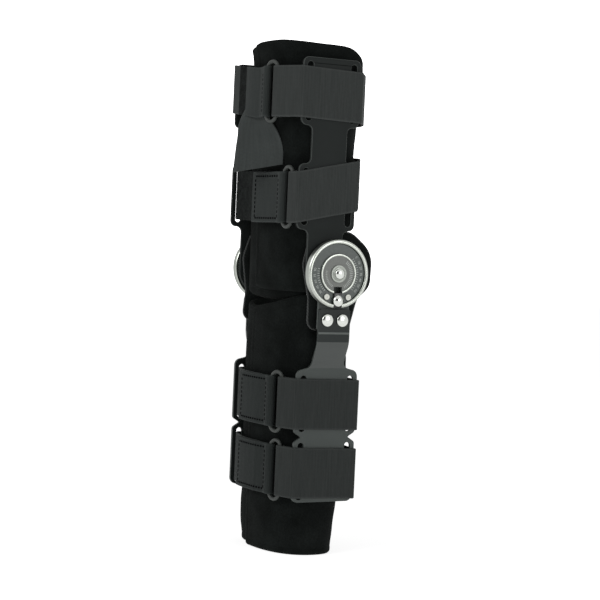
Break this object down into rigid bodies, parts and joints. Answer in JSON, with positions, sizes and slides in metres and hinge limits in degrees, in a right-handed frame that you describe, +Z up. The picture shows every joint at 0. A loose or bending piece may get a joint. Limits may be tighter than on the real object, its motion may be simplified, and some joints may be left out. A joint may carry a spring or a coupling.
{
  "type": "post-op knee brace",
  "caption": "Range-of-motion knee brace with padded thigh and calf sleeves, slotted side bars, webbing straps through wire loops, and a locking dial hinge on each side.",
  "frame": {"origin": "middle of the object's box at the calf sleeve's bottom rim, where it stands", "axes": "+Z up along the leg towards the thigh, +X to the outer side of the leg, -Y to the front of the knee"},
  "size_m": [0.1782, 0.1353, 0.5219],
  "materials": {
    "foam": "black brushed loop cloth over foam",
    "pad": "black cloth over foam",
    "webbing": "dark grey woven webbing",
    "bar": "satin dark grey coat",
    "bright": "polished",
    "dial": "grey scale disc",
    "stop_disc": "grey disc with a bright raised ring",
    "lock": "black",
    "pin": "satin",
    "wire": "dark grey coat"
  },
  "bodies": {
    "calf": {"calf_foam": "foam", "lower_bar_lateral": "bar", "lower_bar_medial": "bar", "hinge_plate_lateral": "bar", "hinge_plate_medial": "bar", "dial_housing_lateral": "bright", "dial_housing_medial": "bright", "dial_face_lateral": "dial", "dial_face_medial": "dial", "stop_disc_lateral": "stop_disc", "stop_disc_medial": "stop_disc", "pivot_rivet_lateral": "bright", "pivot_rivet_medial": "bright", "stop_pin_front_lateral": "pin", "stop_pin_front_medial": "pin", "stop_pin_rear_lateral": "pin", "stop_pin_rear_medial": "pin", "bar_rivet_front_lateral": "bright", "bar_rivet_front_medial": "bright", "bar_rivet_rear_lateral": "bright", "bar_rivet_rear_medial": "bright", "strap_3": "webbing", "strap_4": "webbing", "tab_3": "webbing", "tab_4": "webbing", "ring_3": "wire", "ring_4": "wire"},
    "thigh": {"thigh_foam": "foam", "upper_bar_lateral": "bar", "upper_bar_medial": "bar", "condyle_pad_lateral": "pad", "condyle_pad_medial": "pad", "strap_1": "webbing", "strap_2": "webbing", "tab_1": "webbing", "tab_2": "webbing", "ring_1": "wire", "ring_2": "wire", "strap_tail": "webbing"},
    "lock_lateral": {"lock_slider_lateral": "lock", "lock_button_lateral": "bright"},
    "lock_medial": {"lock_slider_medial": "lock", "lock_button_medial": "bright"}
  },
  "joints": [
    {"name": "knee_flex", "type": "hinge", "parent": "calf", "child": "thigh", "pos_m": [0, 0.0167, 0.288], "axis": [-1, 0, 0], "range_deg": [0, 120]},
    {"name": "lock_slide_lateral", "type": "slide", "parent": "calf", "child": "lock_lateral", "axis": [0, 0, 1], "range_m": [0, 0.0045]},
    {"name": "lock_slide_medial", "type": "slide", "parent": "calf", "child": "lock_medial", "axis": [0, 0, 1], "range_m": [0, 0.0045]}
  ]
}
